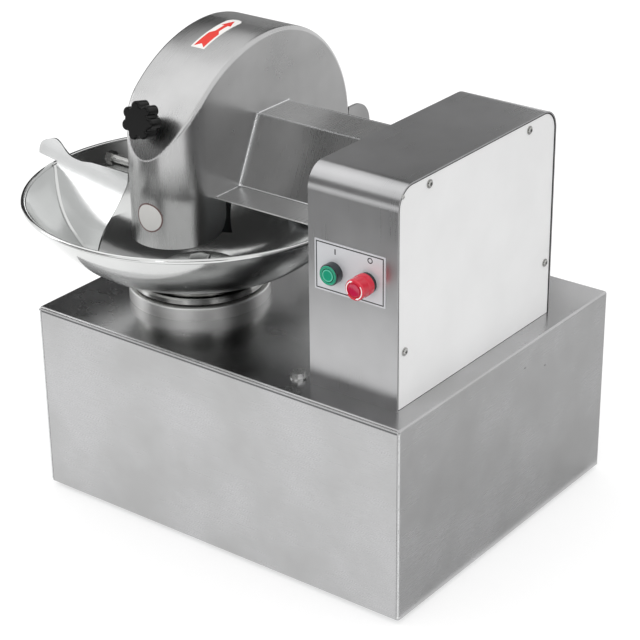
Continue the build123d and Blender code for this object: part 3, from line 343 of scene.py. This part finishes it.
def plate_print(name, outline, hole, material, face_y, body, depth=0.12):
    """Ink on a face that looks towards -Y: an outline in (x, z), with a like-numbered hole or none."""
    shape = bmesh.new()
    levels = (face_y - depth, face_y + 0.02)
    front, back = [[shape.verts.new((x, y, z)) for x, z in outline] for y in levels]
    pairs = [(k, (k + 1) % len(outline)) for k in range(len(outline))]
    for k, after in pairs:
        shape.faces.new((front[k], front[after], back[after], back[k]))
    if hole:
        hole_front, hole_back = [[shape.verts.new((x, y, z)) for x, z in hole] for y in levels]
        for k, after in pairs:
            shape.faces.new((hole_front[after], hole_front[k], hole_back[k], hole_back[after]))
            shape.faces.new((front[k], front[after], hole_front[after], hole_front[k]))
            shape.faces.new((back[k], back[after], hole_back[after], hole_back[k]))
    else:
        shape.faces.new(front)
        shape.faces.new(back[::-1])
    return piece(name, shape, material, body)


def arc_points(x, z, radius, start, end, steps=24):
    """Points on a circle in the (x, z) face, from one angle in degrees to another."""
    angles = [radians(start + (end - start) * k / steps) for k in range(steps + 1)]
    return [(x + radius * cos(angle), z + radius * sin(angle)) for angle in angles]


def rectangle(x0, z0, x1, z1):
    """Corners of an upright rectangle in the (x, z) face."""
    return [(x0, z0), (x1, z0), (x1, z1), (x0, z1)]


satin_aluminium = brushed_sheet("satin anodised aluminium", "#D6D7DA", "#DDDEE1", (40, 1.2, 1.2),
                                (0.38, 0.5), metallic=0.35)
dress(satin_aluminium, "control_plate")
dress(black_moulding, "start_contact_block", "stop_contact_block", "stop_button_bezel")
dark_ring = grained_finish("dark glossy moulded ring", "#101C20", "#16272B", 0.2, 1.5, coat=0.3)
dress(dark_ring, "start_button_bezel")
green_cap = grained_finish("green moulded polycarbonate", "#0C8F6E", "#109D7A", 0.16, 1.5, coat=0.3)
dress(green_cap, "start_button")
red_cap = grained_finish("red moulded polycarbonate", "#CC2238", "#D62C42", 0.22, 1.5, coat=0.3)
dress(red_cap, "stop_button_head", "stop_button_stem")
pale_green = grained_finish("pale green moulded edge", "#52BFA0", "#5CC8AA", 0.2, 1.5, coat=0.3)
crimson = grained_finish("crimson moulded disc", "#B81340", "#C21A48", 0.14, 1.5, coat=0.4)
black_ink = plain_finish("black printed ink", "#2C2C2E", 0.5)
white_ink = plain_finish("white printed ink", "#F6F2F2", 0.5)

(plate_left, plate_face, plate_foot), (plate_right, _, plate_head) = box_mm("control_plate")
start_x, _, button_z = middle_mm("start_button_bezel")
stop_x = middle_mm("stop_button_head")[0]
border_out, border_in = [
    rectangle(plate_left + margin, plate_foot + margin, plate_right - margin, plate_head - margin)
    for margin in (2.2, 3.8)]
i_sign = rectangle(257.7, 504.6, 259.5, 512.4)
o_out, o_in = [arc_points(315, 510.5, radius, 0, 345, 23) for radius in (4.2, 2.7)]
for sign_name, outline, hole in (
        ("plate_border", border_out, border_in), ("start_sign", i_sign, None), ("stop_sign", o_out, o_in)):
    plate_print(sign_name, outline, hole, black_ink, plate_face, "machine_base")

towards_hand = (0, -1, 0)
collar_profile = [(9.7, 0.0), (13.3, 0.0), (13.5, 0.5), (13.1, 1.3), (11.9, 1.7), (10.2, 1.3), (9.7, 0.8)]
turned_piece("start_button_collar", (start_x, box_mm("start_button_bezel")[0][1], button_z), towards_hand,
             collar_profile, green_cap, "machine_base")
lip_profile = [(7.0, -0.1), (8.5, -0.1), (8.5, 0.15), (8.0, 0.4), (7.3, 0.3), (7.0, 0.1)]
turned_piece("start_button_lip", (start_x, box_mm("start_button")[0][1], button_z), towards_hand,
             lip_profile, pale_green, "start_key")
(_, head_face, _), (_, head_back, _) = box_mm("stop_button_head")
skirt_profile = [(14.75, -9.5), (15.1, -9.6), (15.4, -9.2), (15.5, 0.6), (15.1, 1.4), (14.9, 1.4)]
turned_piece("stop_button_skirt", (stop_x, head_back, button_z), towards_hand,
             skirt_profile, red_cap, "stop_head")
disc_profile = [(0, -0.1), (8.9, -0.1), (8.9, 0.25), (8.2, 0.7), (6.5, 0.5), (3.0, 0.25), (0, 0.2)]
turned_piece("stop_button_disc", (stop_x, head_face, button_z), towards_hand,
             disc_profile, crimson, "stop_head")
for number, tip_angle in enumerate((100, 280), 1):
    neck_angle, tail_angle = tip_angle + 20, tip_angle + 118
    outer, inner = [arc_points(stop_x, button_z, radius, neck_angle, tail_angle, 20)
                    for radius in (13.0, 11.6)]
    tip = arc_points(stop_x, button_z, 12.3, tip_angle, tip_angle + 1, 1)[0]
    barb_out, barb_in = [arc_points(stop_x, button_z, radius, neck_angle, neck_angle + 1, 1)[0]
                         for radius in (14.1, 10.8)]
    plate_print(f"twist_arrow_{number}", [tip, barb_out] + outer + inner[::-1] + [barb_in], None, white_ink,
                head_face, "stop_head", 0.1)


# Hood: welded from stainless sheet brushed from front to back, a round-fronted drum with a duct to
# the tower. The duct's folds carry bright beads, painted highlight along the bends; welds are ground beads,
# and the knob is a glossy black phenolic star.
# A blank disc sticks to the front and a plain arrow on a white strip to the roof.
brushed_hood = brushed_sheet("brushed stainless, hood", "#B7B7B7", "#C6C6C6", (1.1, 70, 70),
                             (0.26, 0.31), 0.000006)
dress(brushed_hood, "hood", "lock_bracket", "hinge_post")
turned_steel = brushed_sheet("turned steel", "#A6A7A8", "#B4B5B6", (1.2, 30, 30), (0.24, 0.34))
dress(turned_steel, "hinge_pin", "knife_shaft", "knife_spacers", "knife_nut", "motor_shaft",
      "gearbox_input_shaft", "bowl_spindle")
phenolic = grained_finish("glossy black phenolic", "#070707", "#0B0B0B", 0.2, 2.0)
phenolic.node_tree.nodes["Principled BSDF"].inputs["Specular IOR Level"].default_value = 0.22
dress(phenolic, "star_knob")

bowl_x = middle_mm("bowl")[0]
(hood_left, _, _), (hood_right, _, hood_top) = box_mm("hood")
hood_half = bowl_x - hood_left
duct_root, duct_end = bowl_x + hood_half, hood_right - 0.5
shaft_y, duct_foot, duct_top = 45.0, 478.0, 576.0
top_half, foot_half, ledge_half = 36.0, 82.0, 135.0
for side, sign in (("front", -1), ("rear", 1)):
    top_y, foot_y, ledge_y = [shaft_y + sign * half for half in (top_half, foot_half, ledge_half)]
    # The fold beads are bright: painted highlight along the bends of the duct and ledge.
    weld(f"duct_fold_painted_highlight_{side}", [(x, top_y - sign * 1.6, duct_top - 1.9) for x in (duct_root + 1, duct_end)],
         2.3, "hood_body")
    weld(f"ledge_fold_painted_highlight_{side}", [(x, foot_y - sign * 0.6, duct_foot + 0.6) for x in (duct_root + 1, duct_end)],
         1.7, "hood_body")
    weld(f"duct_weld_{side}", [(duct_root + 0.4, top_y, duct_top), (duct_root + 0.4, foot_y, duct_foot)],
         3.2, "hood_body", 0.04, 1.3)
    weld(f"ledge_weld_{side}", [(duct_root + 0.2, foot_y, duct_foot), (duct_root + 0.2, ledge_y, duct_foot)],
         1.1, "hood_body", 0.15, 1.9)
weld("duct_weld_top", [(duct_root + 0.3, shaft_y + half, duct_top) for half in (-top_half, top_half)],
     1.4, "hood_body", 0.12, 1.7)


def draped_label(name, outline, drape, material, lift):
    """A thin sticker on the hood: its flat outline is cut every 3 mm and laid on a curved face."""
    cut_mm, thick = 3, 0.25
    shape = bmesh.new()
    shape.faces.new([shape.verts.new((u, v, 0)) for u, v in outline])
    for axis in (0, 1):
        values = [point[axis] for point in outline]
        cut = ceil(min(values) / cut_mm) * cut_mm
        while cut < max(values):
            place, normal = [0, 0, 0], [0, 0, 0]
            place[axis], normal[axis] = cut, 1
            bmesh.ops.bisect_plane(shape, geom=shape.verts[:] + shape.edges[:] + shape.faces[:],
                                   plane_co=place, plane_no=normal)
            cut += cut_mm
    rim = [edge for edge in shape.edges if edge.is_boundary]
    under = bmesh.ops.duplicate(shape, geom=shape.verts[:] + shape.edges[:] + shape.faces[:])
    under_verts = {part for part in under["geom"] if isinstance(part, bmesh.types.BMVert)}
    for edge in rim:
        start, end = edge.verts
        shape.faces.new((start, end, under["vert_map"][end], under["vert_map"][start]))
    for vert in shape.verts:
        height = lift - thick if vert in under_verts else lift
        vert.co = drape(vert.co.x, vert.co.y, height)
    return piece(name, shape, material, "hood_body")


tongue_y, crest_y = -109.0, 50.0
front_roof_radius, rear_roof_radius = 242.0, 182.0


def on_tongue(u, v, height):
    """Point on the hood's rounded front: u around it from straight ahead, v up."""
    angle, reach = u / hood_half, hood_half + height
    return Vector((bowl_x + reach * sin(angle), tongue_y - reach * cos(angle), v))


def on_roof(u, v, height):
    """Point on the hood's roof: u across from its middle, v along the arcs backwards from the crest."""
    radius = front_roof_radius if v < 0 else rear_roof_radius
    angle, reach = v / radius, radius + height
    return Vector((bowl_x + u, crest_y + reach * sin(angle), hood_top - radius + reach * cos(angle)))


def disc_outline(u, v, radius, steps=72):
    """A round sticker's edge, about its middle on the flat."""
    angles = [2 * pi * k / steps for k in range(steps)]
    return [(u + radius * cos(angle), v + radius * sin(angle)) for angle in angles]


white_vinyl = grained_finish("white vinyl sticker", "#EEEDEA", "#E6E5E1", 0.35, 3.0)
# The blank disc's vinyl is pale grey, drifting lighter in patches.
pale_vinyl = grained_finish("pale grey vinyl sticker", "#C9C8C6", "#DAD9D6", 0.4, 4.0)
dark_red_ink = plain_finish("dark red printed rim", "#6E5856", 0.45)
red_ink = plain_finish("red printed ink", "#DE2F22", 0.4)
label_lift, print_lift = 0.3, 0.42
disc_u, disc_z, disc_radius, rim_width = radians(6) * hood_half, 460.0, 22.0, 2.2
draped_label("blank_disc_rim", disc_outline(disc_u, disc_z, disc_radius), on_tongue, dark_red_ink, label_lift)
draped_label("blank_disc", disc_outline(disc_u, disc_z, disc_radius - rim_width), on_tongue, pale_vinyl,
             print_lift)
strip_front, strip_back, strip_middle, strip_half = -91.0, 4.0, -6.0, 12.5
strip = [(strip_middle - strip_half, strip_front), (strip_middle + strip_half, strip_front)]
strip += arc_points(strip_middle, strip_back - strip_half, strip_half, 0, 180, 15)
draped_label("arrow_strip", strip, on_roof, white_vinyl, label_lift)
arrow = [(-9, -88), (0, -80), (9, -88), (9, -52), (3.2, -44), (3.2, -24), (8.5, -24), (0, -4),
         (-8.5, -24), (-3.2, -24), (-3.2, -44), (-9, -52)]
draped_label("direction_arrow", [(strip_middle + u, v) for u, v in arrow], on_roof, red_ink, print_lift)


# Bowl: spun stainless, polished inside and out, with a rolled bead for a rim.
# It sits on a turntable in a machined ring on the deck.
spun_polish = brushed_sheet("spun polished stainless", "#D8D9D8", "#DFE0DF", (12, 12, 12), (0.09, 0.14))
dress(spun_polish, "bowl", "bowl_lock_nut")
machined = brushed_sheet("machined stainless ring", "#DADAD9", "#E4E4E3", (30, 30, 1.0), (0.38, 0.5))
dress(machined, "bowl_ring")
faced = brushed_sheet("faced stainless disc", "#B6B6B4", "#C6C6C4", (8, 8, 1.0), (0.12, 0.24), 0.00002)
dress(faced, "turntable")


# Plough: a rolled plate of the same sheet that turns the meat over; it hangs on a bolt through the hood.
# The bolt's thread, 1.75 mm in pitch, is cut from near the head to the plate's eye.
brushed_plough = brushed_sheet("brushed stainless, plough", "#CDCECE", "#D8D9D9", (50, 50, 1.1), (0.16, 0.26))
dress(brushed_plough, "plough_plate")
_, pin_y, pin_z = middle_mm("plough_pin")
thread_pitch, thread_start, thread_end = 1.75, -233.5, -194.0
thread_core, thread_flank, thread_sides, rows_per_turn = 6.05, 0.8, 24, 4
thread = bmesh.new()
rows = []
row_count = int((thread_end - thread_start) / thread_pitch * rows_per_turn)
for row in range(row_count + 1):
    along = thread_start + (thread_end - thread_start) * row / row_count
    ring = []
    for side in range(thread_sides):
        angle = 2 * pi * side / thread_sides
        phase = (along / thread_pitch - angle / (2 * pi)) % 1
        radius = thread_core + thread_flank * abs(phase - 0.5)
        ring.append(thread.verts.new((along, pin_y + radius * cos(angle), pin_z + radius * sin(angle))))
    rows.append(ring)
for ring, after in zip(rows, rows[1:]):
    for side in range(thread_sides):
        beyond = (side + 1) % thread_sides
        thread.faces.new((ring[side], ring[beyond], after[beyond], after[side]))
thread.faces.new(rows[0])
thread.faces.new(rows[-1])
piece("plough_pin_thread", thread, zinc, "hood_body")


# Knives and their drive: ground blades on a turned shaft in a cast arm, two V belts, a motor and a
# worm gearbox. Castings keep a fine sand grain; the motor and gearbox carry grey enamel.
blade = brushed_sheet("ground blade steel", "#8F9193", "#9EA0A2", (1.5, 30, 1.5), (0.18, 0.28))
dress(blade, "knife_1", "knife_2", "knife_3")
cast_aluminium = grained_finish("cast aluminium", "#A9ABAD", "#B4B6B8", 0.45, 1.6, 1.0, depth=0.00015)
dress(cast_aluminium, "bearing_arm", "knife_pulley", "motor_pulley", "gearbox_pulley")
bearing_steel = brushed_sheet("ground bearing steel", "#B0B0B0", "#BABABA", (1.0, 8, 8), (0.14, 0.22))
dress(bearing_steel, "knife_bearing_front", "knife_bearing_rear")
cast_iron = grained_finish("cast iron", "#4A4C4E", "#565859", 0.6, 1.8, 0.6, depth=0.0002)
dress(cast_iron, "input_shaft_bearing")
grey_enamel = grained_finish("grey machine enamel", "#5E646A", "#666C72", 0.35, 2.5, depth=0.00006)
dress(grey_enamel, "motor", "gearbox")
belt_rubber = grained_finish("V belt rubber", "#151515", "#1E1E1E", 0.8, 1.0)
dress(belt_rubber, "knife_belt", "bowl_belt")


# Studio: a white floor and surround, three soft lamps, and felt cards and boards that only
# reflections see, which give the bright sheet its darker tones.
def seen_directly(owner):
    """1 for camera, glossy and transmission rays, 0 for light that falls on matt surfaces."""
    path = add(owner, "ShaderNodeLightPath").outputs
    first = add(owner, "ShaderNodeMath", {
        0: path["Is Camera Ray"], 1: path["Is Glossy Ray"]}, operation="MAXIMUM")
    return add(owner, "ShaderNodeMath", {
        0: first.outputs["Value"], 1: path["Is Transmission Ray"]}, operation="MAXIMUM").outputs["Value"]


def studio_card(name, corners, material):
    """A flat stage piece through four corners, in metres."""
    mesh = bpy.data.meshes.new(name)
    mesh.from_pydata(corners, [], [(0, 1, 2, 3)])
    mesh.materials.append(material)
    card = bpy.data.objects.new(name, mesh)
    bpy.context.scene.collection.objects.link(card)
    return card


reach = 6.0
white_floor = plain_finish("white studio floor", "#B8B8B8", 0.9)
floor_shader = white_floor.node_tree.nodes["Principled BSDF"]
floor_glow = 0.56
floor_lift = add(white_floor, "ShaderNodeMath", {
    0: seen_directly(white_floor), 1: floor_glow}, operation="MULTIPLY")
floor_shader.inputs["Emission Color"].default_value = (1, 1, 1, 1)
white_floor.node_tree.links.new(floor_lift.outputs["Value"], floor_shader.inputs["Emission Strength"])
floor_corners = [(-reach, -reach, 0), (reach, -reach, 0), (reach, reach, 0), (-reach, reach, 0)]
studio_card("floor", floor_corners, white_floor)

from_behind, from_left, from_right = (0.60, -0.62, -0.40), (0.57, 0.76, -0.3), (-0.58, 0.75, -0.3)
for card_name, middle, width, height, facing, colour in (
        ("card_rear_left", (-2.283, 1.055, 0.878), 1.92, 1.8, from_behind, "#303030"),
        ("card_rear_right", (-1.286, 2.04, 0.842), 0.88, 1.72, from_behind, "#ACACAC"),
        ("card_rear_top", (-0.741, 1.705, 2.179), 1.2, 1.23, from_behind, "#303030"),
        ("card_left", (-1.40, -1.90, 1.25), 1.8, 1.2, from_left, "#404040"),
        ("card_right", (1.15, -1.62, 1.15), 1.4, 0.9, from_right, "#404040"),
        ("flag_over_bowl", (-0.57, 0.26, 0.90), 0.46, 0.38, (0, 0, -1), "#303030"),
        ("card_front", (-0.80, -1.50, 0.02), 1.7, 1.1, (0, 0, 1), "#404040"),
        ("board_right_near", (1.10, 0.25, 0.004), 1.4, 1.3, (0, 0, 1), "#D2D2D2"),
        ("board_right_far", (1.10, 1.45, 0.004), 1.4, 1.1, (0, 0, 1), "#AEAEAE")):
    middle, facing = Vector(middle), Vector(facing).normalized()
    level = Vector((1, 0, 0)) if abs(facing.z) > 0.9 else Vector((0, 0, 1)).cross(facing)
    level = level.normalized() * width / 2
    rise = facing.cross(level).normalized() * height / 2
    corners = [middle + level * a + rise * b for a, b in ((-1, -1), (1, -1), (1, 1), (-1, 1))]
    card = studio_card(card_name, corners, plain_finish(f"felt on {card_name}", colour, 0.9))
    card.visible_camera = False
    card.visible_diffuse = False
    card.visible_shadow = False

machine_middle = Vector((0, 0, 0.35))
for lamp_name, place, width, depth, power in (
        ("overhead softbox", (-1.54, -0.35, 2.80), 1.7, 2.2, 3),
        ("front softbox", (1.2, -2.8, 1.9), 1.2, 1.2, 10),
        ("left softbox", (-2.4, -1.2, 1.6), 0.8, 1.4, 8)):
    lamp = bpy.data.objects.new(lamp_name, bpy.data.lights.new(lamp_name, "AREA"))
    bpy.context.scene.collection.objects.link(lamp)
    lamp.data.shape = "RECTANGLE"
    lamp.data.size = width
    lamp.data.size_y = depth
    lamp.data.energy = power
    lamp.location = place
    lamp.rotation_euler = (machine_middle - lamp.location).to_track_quat("-Z", "Y").to_euler()

surround = bpy.data.worlds.new("white surround")
surround.use_nodes = True
bpy.context.scene.world = surround
backing = surround.node_tree.nodes["Background"]
backing.inputs["Color"].default_value = (1, 1, 1, 1)
lighting_level, seen_level = 1.1, 1.0
surround_level = add(surround, "ShaderNodeMapRange", {
    "Value": seen_directly(surround), "To Min": lighting_level, "To Max": seen_level})
surround.node_tree.links.new(surround_level.outputs["Result"], backing.inputs["Strength"])
bpy.context.scene.view_settings.view_transform = "Standard"
